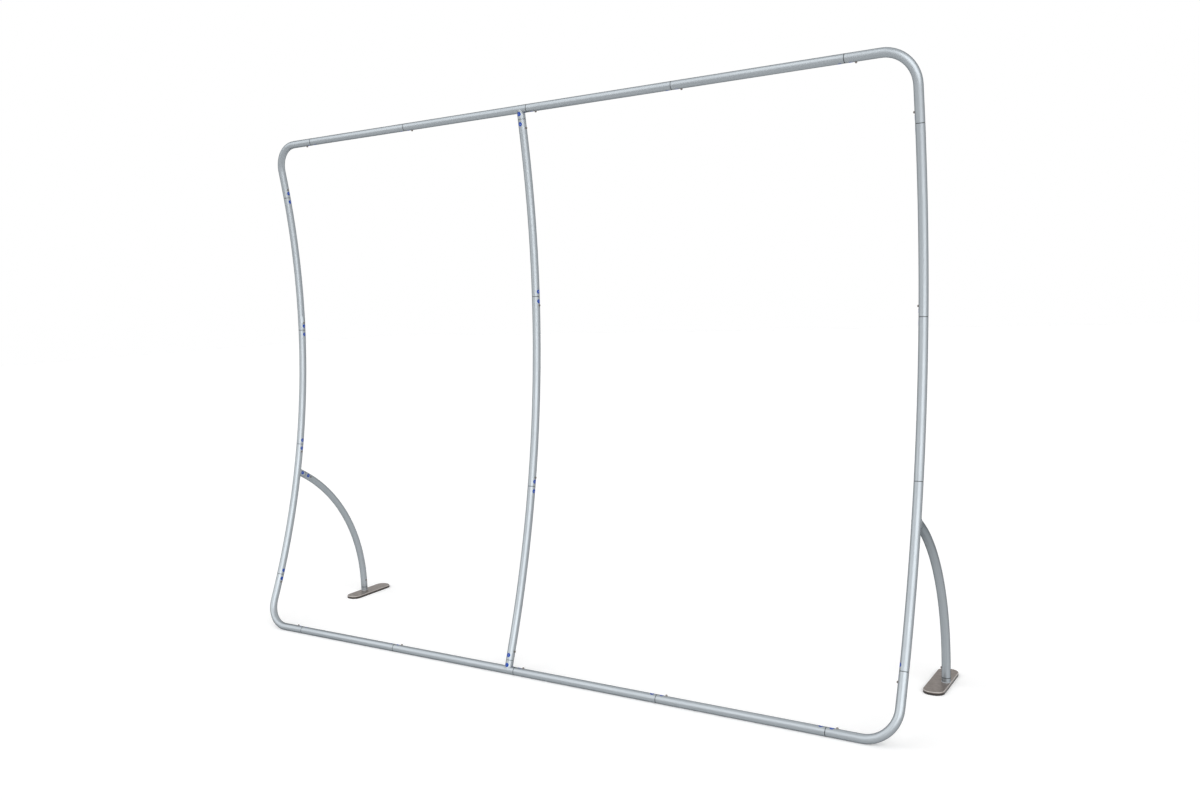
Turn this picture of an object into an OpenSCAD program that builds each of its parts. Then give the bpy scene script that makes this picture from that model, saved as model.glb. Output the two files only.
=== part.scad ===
// Pop-up display backwall frame: a wide loop of plug-together aluminium tube with bowed sides,
// a bowed middle post and two curved rear legs on flat foot plates. Millimetres.
// X runs along the backwall, Y runs from its front to its back and Z runs up. The origin is on the
// floor, under the middle of the whole object.

/* [Frame] */
// Overall width of the frame
frame_w = 3000; // [2500:10:3600]
// Overall height of the frame, measured up its lean
frame_h = 2264; // [1890:1:2720]
// Angle by which the frame leans back, in degrees
frame_lean = 6.8; // [5:0.1:9]
// Radius of the bow in the two sides, at the centre of the tube
side_r = 3460; // [2880:10:4200]
// Bend radius of the four corner elbows, at the centre of the tube
corner_r = 114; // [90:1:140]

/* [Middle post] */
// Radius of the bow in the middle post, at the centre of the tube
post_r = 4200; // [3500:10:5100]
// Straight length at each end of the post, from the centre of the rail
post_end = 114; // [100:1:140]
// Distance of the post from the rail seam on its right
post_from_seam = 34; // [28:1:60]

/* [Tube] */
// Outside diameter of every tube
tube_d = 32; // [30:1:38]
// Wall of every tube
tube_wall = 1.2; // [1:0.1:1.5]
// Width of the groove that shows where two tubes meet
seam_gap = 1; // [0.5:0.1:2]
// Size of the weld bead round a welded stub
weld = 1.5; // [1:0.1:2.5]

/* [Tube lengths] */
// Straight run of an elbow along the rail, past its bend
elbow_rail_run = 120; // [100:1:150]
// Run of an elbow up the side, past its bend
elbow_side_run = 120; // [100:1:150]
// Length of the leftmost tube of each rail: the other three share what is left
rail_first_len = 565; // [400:5:700]
// Length of the middle tube of each side
side_middle_len = 550; // [400:5:650]
// Length of the middle tube of the post
post_middle_len = 776; // [600:2:940]
// Length of the stubs that carry the post, from the centre of the rail
tee_len = 38; // [34:1:46]

/* [Legs] */
// Distance of a leg below the middle of the side, along the tube
leg_below = 406; // [400:1:490]
// Angle below level at which a leg sets off
leg_angle = 30.4; // [25:0.1:36.5]
// Length of the stub that carries a leg, from the centre of the side tube
leg_stub = 40; // [36:1:48]
// Height above the floor at which a leg turns upright
leg_upright = 66; // [55:1:80]

/* [Foot plates] */
// Length of a foot plate, from front to back
plate_len = 266; // [222:2:320]
// Width of a foot plate
plate_w = 78; // [68:1:94]
// Thickness of a foot plate
plate_t = 13; // [6:0.5:16]
// Radius of a foot plate's corners
plate_corner_r = 33; // [20:1:34]
// Radius of the rounded edge along the top of a foot plate
plate_edge_r = 3; // [1:0.1:4]
// Distance by which a foot plate stands out past the outer side of its leg
plate_out = 2; // [0:0.5:8]
// Distance from a leg back to the middle of its foot plate
plate_shift = 9; // [0:1:20]
// Height of the stub that stands on a foot plate
foot_stub = 17; // [13:1:22]

/* [Spigots] */
// Reach of a spigot into the tube that slides over it
spigot_len = 60; // [52:1:72]
// Wall of a spigot
spigot_wall = 1.5; // [1.2:0.1:1.8]
// Clearance between a spigot and the bore of a tube, all round
spigot_clear = 0.1; // [0.05:0.01:0.15]
// Bevel round the end of a spigot, which leads it into its tube
lead_in = 0.8; // [0.4:0.1:1]

/* [Snap buttons] */
// Diameter of a snap button
button_d = 8; // [7:0.1:9]
// Clearance between a button and its hole, all round
button_clear = 0.2; // [0.15:0.01:0.3]
// Height of a button's tip above the tube
button_proud = 5; // [4:0.1:5.5]
// Distance from a seam to the button beside it
button_setback = 36; // [32:1:40]
// Radius of a button's rounded tip
tip_r = 5; // [4.6:0.1:7]
// Diameter of the flange that keeps a button in its spigot
flange_d = 11; // [10:0.1:12]
// Thickness of that flange
flange_t = 1.2; // [0.8:0.1:1.4]
// Width of the leaf spring under a button
spring_w = 9; // [7:0.1:10]
// Thickness of the leaf spring
spring_t = 0.8; // [0.5:0.1:1]
// Reach of the leaf spring past the button
spring_front = 8; // [6:0.5:12]
// Reach of the leaf spring from the button back to its bend
spring_back = 22; // [18:0.5:26]
// Gap that keeps the flange and the spring off the wall of the spigot
spring_gap = 0.3; // [0.2:0.05:0.5]

/* [Hidden] */
ring_fn = 64;
arc_fn = 256;
$fn = ring_fn;
cut = 1;
bottom = -1;
top = 1;
left = -1;
right = 1;
silver = [0.79, 0.82, 0.84];
mill = [0.66, 0.68, 0.69];
steel = [0.47, 0.45, 0.43];
dark_steel = [0.36, 0.34, 0.32];

tube_r = tube_d / 2;
bore_r = tube_r - tube_wall;
spigot_r = bore_r - spigot_clear;
spigot_bore_r = spigot_r - spigot_wall;

// Side view of the frame, as [y, z] from the centre of the bottom rail
function degrees(len, r) = len / r * 180 / PI;
function length_of(deg, r) = deg * r * PI / 180;
function half_angle(r, end) = asin(rail_span / 2 / norm([r, end])) - atan2(end, r);
function bow(r, end) = r * (1 - cos(half_angle(r, end))) + end * sin(half_angle(r, end));
function bow_centre(r, end) =
    rail_span / 2 * [sin(frame_lean), cos(frame_lean)]
    + (bow(r, end) - r) * [cos(frame_lean), -sin(frame_lean)];
rail_span = frame_h - tube_d;
side_half = length_of(half_angle(side_r, corner_r), side_r);
post_half = length_of(half_angle(post_r, post_end), post_r);
leg_root_turn = -degrees(leg_below, side_r) - frame_lean;
leg_root = bow_centre(side_r, corner_r) + side_r * [cos(leg_root_turn), sin(leg_root_turn)];
leg_seam = leg_root + leg_stub * [cos(leg_angle), -sin(leg_angle)];
leg_r = (leg_seam.y + tube_r - leg_upright) / cos(leg_angle);
leg_centre = leg_seam - leg_r * [sin(leg_angle), cos(leg_angle)];
foot_reach = leg_centre.x + leg_r;
depth = tube_r + foot_reach + plate_shift + plate_len / 2;

// The centre of the bottom rail, and the three curves that the bent tubes follow. A curve is
// [radius, centre, start of its arc, end of its arc, lean], runs up the tube, and goes on
// straight past both ends of its arc. A place on it is a distance along it.
base = [tube_r - depth / 2, tube_r];
side_curve = [side_r, base + bow_centre(side_r, corner_r), -side_half, side_half, -frame_lean];
post_curve = [post_r, base + bow_centre(post_r, post_end), -post_half, post_half, -frame_lean];
leg_curve = [leg_r, base + leg_centre, 0, length_of(90 - leg_angle, leg_r), 0];
function on_arc(c, d) = min(max(d, c[2]), c[3]);
function turn(c, d) = c[4] + degrees(on_arc(c, d), c[0]);
function spot(c, d) =
    c[1] + c[0] * [cos(turn(c, d)), sin(turn(c, d))]
    + (d - on_arc(c, d)) * [-sin(turn(c, d)), cos(turn(c, d))];

// Seams, each with the way from it to its button: 1 for right or up, -1 for left or down
side_x = frame_w / 2 - tube_r;
corner_x = side_x - corner_r;
elbow_x = corner_x - elbow_rail_run;
rail_first_end = rail_first_len - elbow_x;
rail_rest_len = (elbow_x - rail_first_end) / 3;
rail_seams = concat([-elbow_x], [for (i = [0:3]) rail_first_end + i * rail_rest_len]);
rail_ways = [-1, 1, 1, 1, 1];
side_out = side_half - elbow_side_run;
side_seams = [-side_out, -side_middle_len / 2, side_middle_len / 2, side_out];
side_ways = [-1, -1, 1, 1];

// Way that each button of a side faces, as its angle round the tube
inboard = 180;
backward = 90;
left_side_faces = [inboard, inboard, inboard, inboard];
right_side_faces = [inboard, backward, inboard, inboard];

post_x = rail_seams[2] - post_from_seam;
post_len = post_half + post_end;
post_out = post_len - tee_len;
post_seams = [-post_out, -post_middle_len / 2, post_middle_len / 2, post_out];
post_ways = [1, 1, -1, -1];
leg_out = leg_curve[3];
leg_seams = [plate_t + foot_stub - leg_upright, leg_out];
leg_ways = [1, -1];
foot_y = base.x + foot_reach;

// Radius of the weld bead on the tube that carries a stub
bead_r = tube_r + 0.8 * weld;

// Ends of the spigots inside the welded stubs, just clear of the tube that the stub stands on
stub_slant = leg_angle + leg_root_turn;
leg_floor = (tube_r + bore_r * sin(stub_slant)) / cos(stub_slant) + cut;
tee_floor = tube_r + cut;

// Snap buttons, by their distance from the centre of the tube. The stem ends inside the round tip.
tip = tube_r + button_proud;
stem_end = tip - tip_r + sqrt(pow(tip_r, 2) - pow(button_d / 2, 2)) / 2;
flange_top = sqrt(pow(spigot_bore_r, 2) - pow(flange_d / 2, 2)) - spring_gap;
leaf_near = flange_top - flange_t;
leaf_far = sqrt(pow(spigot_bore_r, 2) - pow(spring_w / 2, 2)) - spring_gap;

RAIL_NODES = [for (n = ["top", "bottom"], i = [1:4]) str(n, "_rail_", i)];
ELBOW_NODES = [for (n = ["top", "bottom"], h = ["left", "right"]) str(n, "_", h, "_elbow")];
SIDE_NODES = [for (h = ["left", "right"], n = ["lower", "middle", "upper"]) str(h, "_side_", n)];
POST_NODES = ["post_lower", "post_middle", "post_upper"];
LEG_NODES = ["left_leg", "right_leg", "left_foot_plate", "right_foot_plate"];
SPIGOT_NODES = ["top_rail_spigots", "bottom_rail_spigots", "side_spigots", "post_spigots",
    "leg_spigots", "foot_sockets"];
BUTTON_NODES = concat(
    [for (n = ["top", "bottom"], i = [1:5]) str(n, "_button_", i)],
    [for (n = ["left", "right", "post"], i = [1:4]) str(n, "_button_", i)],
    [for (h = ["left", "right"], n = ["foot", "leg"]) str(h, "_", n, "_button")]);

// Places. Inside a pin place, X points out of the button and Z runs from the seam to the button.
module rail_place(end) {
    point = base + (end == top ? rail_span : 0) * [sin(frame_lean), cos(frame_lean)];
    angle = end == top ? turn(side_curve, side_half) - 90 : turn(side_curve, -side_half) + 90;
    translate([0, point.x, point.y])
        rotate([angle, 0, 0])
            children();
}

module side_place(hand) {
    mirror([hand == left ? 1 : 0, 0, 0])
        translate([side_x, 0, 0])
            children();
}

module curve_place(c, d) {
    translate([0, spot(c, d).x, spot(c, d).y])
        rotate([turn(c, d), 0, 0])
            children();
}

module tee_place(end) {
    translate([post_x, 0, 0])
        curve_place(post_curve, end * post_len)
            facing(-end)
                children();
}

module leg_root_place() {
    curve_place(side_curve, -leg_below)
        rotate([-90 - stub_slant, 0, 0])
            children();
}

module facing(way) {
    rotate([way < 0 ? 180 : 0, 0, 0])
        children();
}

module rail_pin_place(end, i) {
    rail_place(end)
        translate([rail_seams[i] + rail_ways[i] * button_setback, 0, 0])
            rotate(a = 120, v = [1, 1, 1])
                facing(rail_ways[i])
                    children();
}

module side_pin_place(hand, i) {
    faces = hand == left ? left_side_faces : right_side_faces;
    side_place(hand)
        curve_place(side_curve, side_seams[i] + side_ways[i] * button_setback)
            rotate([0, 0, faces[i]])
                facing(side_ways[i])
                    children();
}

module post_pin_place(i) {
    translate([post_x, 0, 0])
        curve_place(post_curve, post_seams[i] + post_ways[i] * button_setback)
            facing(post_ways[i])
                children();
}

module leg_pin_place(hand, i) {
    side_place(hand)
        curve_place(leg_curve, leg_seams[i] + leg_ways[i] * button_setback)
            rotate([0, 0, 180])
                facing(leg_ways[i])
                    children();
}

module all_pin_places() {
    for (end = [bottom, top], i = [0:4])
        rail_pin_place(end, i)
            children();
    for (hand = [left, right], i = [0:3])
        side_pin_place(hand, i)
            children();
    for (i = [0:3])
        post_pin_place(i)
            children();
    for (hand = [left, right], i = [0:1])
        leg_pin_place(hand, i)
            children();
}

// Round bars of radius r, solid: tubes and spigots are made of two of them
module bar(r, from, to) {
    translate([from, 0, 0])
        rotate([0, 90, 0])
            cylinder(h = to - from, r = r);
}

module arc_bar(bow_r, r, len) {
    translate([0, -bow_r, 0])
        rotate([90, 0, 90])
            rotate_extrude(angle = degrees(len, bow_r), $fn = arc_fn)
                translate([bow_r, 0])
                    circle(r, $fn = ring_fn);
}

// Drawn from where its arc meets its straight run, so that the two meet exactly
module curved_bar(c, r, from, to) {
    low = on_arc(c, from);
    high = on_arc(c, to);
    if (from < low)
        curve_place(c, low) {
            translate([0, 0, from - low])
                cylinder(h = min(to, low) - from, r = r);
            if (high > low)
                arc_bar(c[0], r, high - low);
        }
    else
        curve_place(c, high) {
            if (high > low)
                rotate([0, 180, 0])
                    arc_bar(c[0], r, high - low);
            if (to > high)
                translate([0, 0, max(from, high) - high])
                    cylinder(h = to - max(from, high), r = r);
        }
}

module elbow_bar(end, r, trim) {
    rail_place(end) {
        bar(r, elbow_x + trim, corner_x);
        translate([corner_x, corner_r, 0])
            rotate([0, 0, -90])
                rotate_extrude(angle = 90)
                    translate([corner_r, 0])
                        circle(r);
        translate([side_x, corner_r, 0])
            rotate([-90, 0, 0])
                rotate([0, 0, end == top ? 180 : 0])
                    arc_bar(side_r, r, elbow_side_run - trim);
    }
}

// What is cut off round the end of a spigot, with Z pointing out of that end
module lead_in_cut() {
    reach = lead_in + cut;
    rotate_extrude()
        polygon([[spigot_r - reach, cut], [spigot_r + cut, -reach], [spigot_r + cut, cut]]);
}

// Tubes, open from end to end. Their children are cut out of them.
module straight_tube(from, to) {
    difference() {
        bar(tube_r, from + seam_gap / 2, to - seam_gap / 2);
        bar(bore_r, from - cut, to + cut);
        children();
    }
}

module curved_tube(c, from, to) {
    difference() {
        curved_bar(c, tube_r, from + seam_gap / 2, to - seam_gap / 2);
        curved_bar(c, bore_r, from - cut, to + cut);
        children();
    }
}

// A stub that stands on another tube: its children are that tube, swollen by the weld bead
module welded_stub(len) {
    translate([0, 0, tube_r / 2])
        cylinder(h = len - seam_gap / 2 - tube_r / 2, r = tube_r);
    intersection() {
        cylinder(h = tube_d, r = tube_r + weld);
        children();
    }
}

module button_hole() {
    rotate([0, 90, 0])
        cylinder(h = tube_r + cut, r = button_d / 2 + button_clear);
}

// Rails
module rail_tube(end, i) {
    color(silver)
        difference() {
            rail_place(end)
                straight_tube(rail_seams[i], rail_seams[i + 1]);
            if (rail_ways[i] > 0)
                rail_pin_place(end, i)
                    button_hole();
        }
}

module rail_tee(end) {
    from = rail_seams[1] - post_x;
    to = rail_seams[2] - post_x;
    color(silver)
        difference() {
            tee_place(end)
                difference() {
                    union() {
                        bar(tube_r, from + seam_gap / 2, to - seam_gap / 2);
                        welded_stub(tee_len)
                            bar(bead_r, -tube_d, tube_d);
                    }
                    bar(bore_r, from - cut, to + cut);
                    difference() {
                        cylinder(h = tee_len + cut, r = bore_r);
                        bar(tube_r, -tube_d, tube_d);
                    }
                }
            rail_pin_place(end, 1)
                button_hole();
        }
}

module elbow(end, hand) {
    color(silver)
        difference() {
            mirror([hand == left ? 1 : 0, 0, 0])
                difference() {
                    elbow_bar(end, tube_r, seam_gap / 2);
                    elbow_bar(end, bore_r, -cut);
                }
            rail_pin_place(end, hand == left ? 0 : 4)
                button_hole();
            side_pin_place(hand, end == top ? 3 : 0)
                button_hole();
        }
}

module rail_spigots(end) {
    color(mill)
        for (i = [0:4])
            difference() {
                rail_place(end)
                    bar(spigot_r, rail_seams[i] - spigot_len, rail_seams[i] + spigot_len);
                rail_place(end)
                    bar(spigot_bore_r, rail_seams[i] - spigot_len - cut,
                        rail_seams[i] + spigot_len + cut);
                for (way = [left, right])
                    rail_place(end)
                        translate([rail_seams[i] + way * spigot_len, 0, 0])
                            rotate([0, way * 90, 0])
                                lead_in_cut();
                rail_pin_place(end, i)
                    button_hole();
            }
}

// Sides
module side_upper(hand) {
    color(silver)
        difference() {
            side_place(hand)
                curved_tube(side_curve, side_seams[2], side_seams[3]);
            side_pin_place(hand, 2)
                button_hole();
        }
}

module side_middle(hand) {
    color(silver)
        side_place(hand)
            curved_tube(side_curve, side_seams[1], side_seams[2]);
}

module side_lower(hand) {
    color(silver)
        difference() {
            side_place(hand)
                difference() {
                    union() {
                        curved_bar(side_curve, tube_r, side_seams[0] + seam_gap / 2,
                            side_seams[1] - seam_gap / 2);
                        leg_root_place()
                            welded_stub(leg_stub)
                                rotate([90 + stub_slant, 0, 0])
                                    cylinder(h = 2 * tube_d, r = bead_r, center = true);
                    }
                    curved_bar(side_curve, bore_r, side_seams[0] - cut, side_seams[1] + cut);
                    difference() {
                        leg_root_place()
                            cylinder(h = leg_stub + cut, r = bore_r);
                        curved_bar(side_curve, tube_r, -leg_below - tube_d,
                            -leg_below + tube_d);
                    }
                }
            side_pin_place(hand, 1)
                button_hole();
        }
}

module side_spigots() {
    color(mill)
        for (hand = [left, right], i = [0:3])
            difference() {
                side_place(hand)
                    curved_bar(side_curve, spigot_r, side_seams[i] - spigot_len,
                        side_seams[i] + spigot_len);
                side_place(hand)
                    curved_bar(side_curve, spigot_bore_r, side_seams[i] - spigot_len - cut,
                        side_seams[i] + spigot_len + cut);
                for (way = [bottom, top])
                    side_place(hand)
                        curve_place(side_curve, side_seams[i] + way * spigot_len)
                            facing(way)
                                lead_in_cut();
                side_pin_place(hand, i)
                    button_hole();
            }
}

// Middle post
module post_tube(i) {
    color(silver)
        difference() {
            translate([post_x, 0, 0])
                curved_tube(post_curve, post_seams[i], post_seams[i + 1]);
            for (seam = [0:3])
                post_pin_place(seam)
                    button_hole();
        }
}

module post_spigots() {
    ends = [
        [tee_floor - post_len, post_seams[0] + spigot_len],
        [post_seams[1] - spigot_len, post_seams[1] + spigot_len],
        [post_seams[2] - spigot_len, post_seams[2] + spigot_len],
        [post_seams[3] - spigot_len, post_len - tee_floor]
    ];
    color(mill)
        for (i = [0:3])
            difference() {
                translate([post_x, 0, 0])
                    curved_bar(post_curve, spigot_r, ends[i][0], ends[i][1]);
                translate([post_x, 0, 0])
                    curved_bar(post_curve, spigot_bore_r, ends[i][0] - cut, ends[i][1] + cut);
                for (way = i == 0 ? [top] : i == 3 ? [bottom] : [bottom, top])
                    translate([post_x, 0, 0])
                        curve_place(post_curve, ends[i][way == top ? 1 : 0])
                            facing(way)
                                lead_in_cut();
                post_pin_place(i)
                    button_hole();
            }
}

// Legs
module leg(hand) {
    color(silver)
        difference() {
            side_place(hand)
                curved_tube(leg_curve, leg_seams[0], leg_seams[1]);
            for (i = [0:1])
                leg_pin_place(hand, i)
                    button_hole();
        }
}

module foot_plate(hand) {
    inner_w = plate_w / 2 - plate_corner_r;
    inner_len = plate_len / 2 - plate_corner_r;
    color(steel)
        side_place(hand)
            translate([tube_r + plate_out - plate_w / 2, foot_y + plate_shift, 0]) {
                rotate([90, 0, 0])
                    linear_extrude(inner_len * 2, center = true)
                        plate_section(plate_w / 2);
                rotate([90, 0, 90])
                    linear_extrude(inner_w * 2, center = true)
                        plate_section(plate_len / 2);
                for (x = [-inner_w, inner_w], y = [-inner_len, inner_len])
                    translate([x, y, 0])
                        plate_corner();
            }
}

module plate_section(half) {
    flat = half - plate_edge_r;
    translate([-half, 0])
        square([2 * half, plate_t - plate_edge_r]);
    translate([-flat, 0])
        square([2 * flat, plate_t]);
    for (x = [-flat, flat])
        translate([x, plate_t - plate_edge_r])
            circle(plate_edge_r);
}

module plate_corner() {
    rotate_extrude()
        intersection() {
            plate_section(plate_corner_r);
            square([plate_corner_r, plate_t]);
        }
}

module leg_spigots() {
    from = leg_out - spigot_len;
    to = leg_out + leg_stub - leg_floor;
    color(mill)
        for (hand = [left, right])
            difference() {
                side_place(hand)
                    curved_bar(leg_curve, spigot_r, from, to);
                side_place(hand)
                    curved_bar(leg_curve, spigot_bore_r, from - cut, to + cut);
                side_place(hand)
                    curve_place(leg_curve, from)
                        facing(bottom)
                            lead_in_cut();
                leg_pin_place(hand, 1)
                    button_hole();
            }
}

// The upright on each foot plate: stub and spigot in one, welded down
module foot_sockets() {
    from = plate_t - leg_upright;
    to = leg_seams[0] + spigot_len;
    color(silver)
        for (hand = [left, right])
            difference() {
                side_place(hand) {
                    curved_bar(leg_curve, spigot_r, from, to);
                    curved_bar(leg_curve, tube_r, from, leg_seams[0] - seam_gap / 2);
                    foot_weld();
                }
                side_place(hand)
                    curved_bar(leg_curve, spigot_bore_r, from - cut, to + cut);
                side_place(hand)
                    curve_place(leg_curve, to)
                        lead_in_cut();
                leg_pin_place(hand, 0)
                    button_hole();
            }
}

// The weld stays on the flat of the plate
module foot_weld() {
    flat_w = plate_w - 2 * plate_edge_r;
    intersection() {
        translate([0, foot_y, plate_t])
            cylinder(h = 2 * weld, r1 = tube_r + weld, r2 = tube_r - weld);
        translate([tube_r + plate_out - plate_edge_r - flat_w, foot_y - tube_d, plate_t])
            cube([flat_w, 2 * tube_d, 2 * weld]);
    }
}

// Snap buttons and their springs
module snap_button() {
    color(dark_steel)
        rotate([0, 90, 0])
            rotate_extrude() {
                translate([0, leaf_near])
                    square([flange_d / 2, flange_t]);
                translate([0, leaf_near])
                    square([button_d / 2, stem_end - leaf_near]);
                intersection() {
                    translate([0, tip - tip_r])
                        circle(tip_r);
                    translate([0, tip - tip_r])
                        square([button_d / 2, tip_r]);
                }
            }
}

module leaf_spring() {
    bend_r = (leaf_near + leaf_far) / 2;
    rotate([90, 0, 0])
        linear_extrude(spring_w, center = true) {
            translate([leaf_near - spring_t, -spring_back])
                square([spring_t, spring_back + spring_front]);
            translate([-leaf_far, -spring_back])
                square([spring_t, spring_back + spring_front]);
            translate([leaf_near - bend_r, -spring_back])
                difference() {
                    circle(bend_r);
                    circle(bend_r - spring_t);
                    translate([-bend_r - cut, 0])
                        square([2 * (bend_r + cut), bend_r + cut]);
                }
        }
}

module button_springs() {
    color(mill)
        all_pin_places()
            leaf_spring();
}

for (end = [bottom, top]) {
    name = end == top ? "top" : "bottom";
    for (i = [0, 2, 3])
        rail_tube(end, i);
    rail_tee(end);
    elbow(end, left);
    elbow(end, right);
    rail_spigots(end);
    for (i = [0:4])
        rail_pin_place(end, i) snap_button();
}
for (hand = [left, right]) {
    name = hand == left ? "left" : "right";
    side_lower(hand);
    side_middle(hand);
    side_upper(hand);
    leg(hand);
    foot_plate(hand);
    for (i = [0:3])
        side_pin_place(hand, i) snap_button();
    leg_pin_place(hand, 0) snap_button();
    leg_pin_place(hand, 1) snap_button();
}
for (i = [0:3])
    post_pin_place(i) snap_button();
post_tube(0);  // post_lower
post_tube(1);  // post_middle
post_tube(2);  // post_upper
side_spigots();
post_spigots();
leg_spigots();
foot_sockets();
button_springs();
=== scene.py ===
"""Looks of the pop-up display backwall frame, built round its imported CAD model.

Everything is in metres, in the frame of the CAD model: X along the backwall, Y from its front to
its back and Z up. The tubes, plates, spigots, springs and buttons are CAD nodes that get their
materials here. The numbered stickers beside the seams and the ripples of the welds are made here.
"""

from __future__ import annotations

import logging
import math
from dataclasses import dataclass, field
from enum import Enum
from typing import Any, Iterator

import bmesh
import bpy
from bpy.types import ID, Material, Mesh, Node, NodeSocket, NodeTree, Object, World
from mathutils import Matrix, Vector


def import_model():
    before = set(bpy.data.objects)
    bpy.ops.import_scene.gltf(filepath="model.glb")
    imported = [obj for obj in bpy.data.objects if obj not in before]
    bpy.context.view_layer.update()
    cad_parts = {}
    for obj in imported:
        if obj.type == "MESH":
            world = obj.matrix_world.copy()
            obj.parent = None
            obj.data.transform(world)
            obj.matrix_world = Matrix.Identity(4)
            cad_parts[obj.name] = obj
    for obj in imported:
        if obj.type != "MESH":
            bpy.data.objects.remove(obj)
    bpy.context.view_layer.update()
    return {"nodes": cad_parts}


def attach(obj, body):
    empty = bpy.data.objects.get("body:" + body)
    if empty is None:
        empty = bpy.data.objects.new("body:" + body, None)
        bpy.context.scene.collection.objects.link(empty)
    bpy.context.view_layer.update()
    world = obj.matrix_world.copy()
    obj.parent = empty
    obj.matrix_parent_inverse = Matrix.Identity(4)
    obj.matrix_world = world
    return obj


LOG = logging.getLogger("backwall")

MM = 0.001
FRAME_BODY = "frame"

# What can feed a socket: another socket, or a node by the first of its outputs in use
Source = Node | NodeSocket


def add_node(tree: NodeTree, kind: str, inputs: dict[str | int, Any] | None = None,
             **settings: Any) -> Node:
    """Adds one node to a tree.

    Args:
        tree: Material, world or geometry tree that gets the node.
        kind: Blender's name for the kind of node.
        inputs: Name or number of each input, counted among those that the settings leave in
            use, with its value or with what feeds it.
        settings: Properties of the node itself.

    Returns:
        The new node.
    """
    node = tree.nodes.new(kind)
    for name, value in settings.items():
        setattr(node, name, value)
    used = [socket for socket in node.inputs if socket.enabled]
    for key, value in (inputs or {}).items():
        target = used[key] if isinstance(key, int) else next(s for s in used if s.name == key)
        if isinstance(value, Node):
            value = next(socket for socket in value.outputs if socket.enabled)
        if isinstance(value, NodeSocket):
            tree.links.new(value, target)
        else:
            target.default_value = value
    return node


def emptied(owner: Material | World) -> NodeTree:
    """Gives a material or a world an empty node tree.

    Args:
        owner: The material or the world.

    Returns:
        Its tree.
    """
    owner.use_nodes = True
    owner.node_tree.nodes.clear()
    return owner.node_tree


def add_object(name: str, data: ID) -> Object:
    """Puts an object into the scene.

    Args:
        name: Name of the object.
        data: Its mesh, lamp or camera.

    Returns:
        The object.
    """
    made = bpy.data.objects.new(name, data)
    bpy.context.scene.collection.objects.link(made)
    return made


def linear(code: str) -> tuple[float, float, float, float]:
    """Turns an sRGB hex colour into the linear one that a shader takes.

    Args:
        code: Colour as six hex digits after a hash.

    Returns:
        Linear red, green and blue, and an alpha of one.
    """
    parts = [int(code[i:i + 2], 16) / 255 for i in (1, 3, 5)]
    red, green, blue = (
        c / 12.92 if c <= 0.04045 else ((c + 0.055) / 1.055) ** 2.4 for c in parts)
    return red, green, blue, 1.0


class Hand(Enum):
    """Side of the frame, as seen from the front."""

    LEFT = -1
    RIGHT = 1


class End(Enum):
    """Lower or upper end of the frame."""

    BOTTOM = -1
    TOP = 1


@dataclass(frozen=True)
class Curve:
    """Centre line of a bowed tube, in the plane across the backwall.

    A place on it is a distance along it, up the tube, and it goes on straight past its arc.
    """

    radius: float
    centre: tuple[float, float]
    start: float
    end: float
    lean: float

    def on_arc(self, along: float) -> float:
        """Nearest distance that lies on the arc itself."""
        return min(max(along, self.start), self.end)

    def turn(self, along: float) -> float:
        """Angle of the tube there, in radians from upright."""
        return self.lean + self.on_arc(along) / self.radius

    def round_arc(self, along: float) -> float:
        """The same place, measured round the arc's circle from the level of its centre."""
        spot = self.spot(along) - Vector(self.centre)
        return self.radius * math.atan2(spot.y, spot.x)

    def spot(self, along: float) -> Vector:
        """Finds a point of the centre line.

        Args:
            along: Distance along the tube.

        Returns:
            The point, as Y and Z.
        """
        turn = self.turn(along)
        past = along - self.on_arc(along)
        return Vector((
            self.centre[0] + self.radius * math.cos(turn) - past * math.sin(turn),
            self.centre[1] + self.radius * math.sin(turn) + past * math.cos(turn),
        ))


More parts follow.
